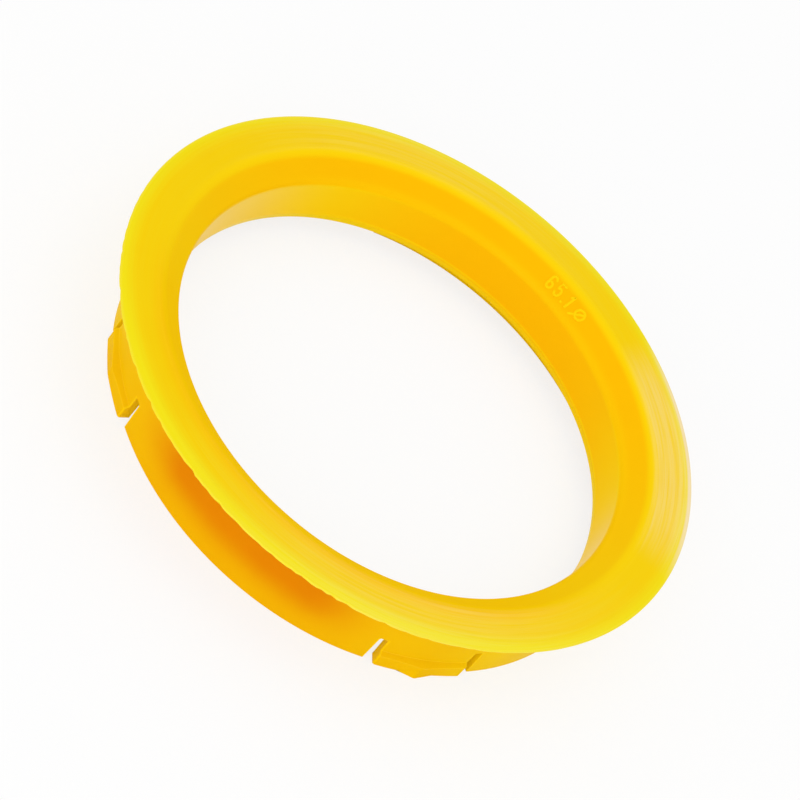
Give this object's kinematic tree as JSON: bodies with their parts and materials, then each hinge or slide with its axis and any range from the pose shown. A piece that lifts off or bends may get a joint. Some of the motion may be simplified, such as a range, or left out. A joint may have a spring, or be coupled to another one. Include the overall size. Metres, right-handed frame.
{
  "type": "hub centric ring",
  "caption": "One-piece yellow plastic collar that centres a car wheel on a smaller hub: coned flange, bored land, slit outer sleeve with snap tongues.",
  "frame": {"origin": "centre of the sleeve's free end, on the surface that the ring stands on", "axes": "+Z along the ring's axis, from the sleeve's free end towards the flange; X and Y across the ring, with a snap tongue at 39.4 degrees from +X"},
  "size_m": [0.084, 0.084, 0.0134],
  "materials": {
    "ring_plastic": "satin"
  },
  "bodies": {
    "root": {"hub_centric_ring": "ring_plastic"}
  },
  "joints": []
}
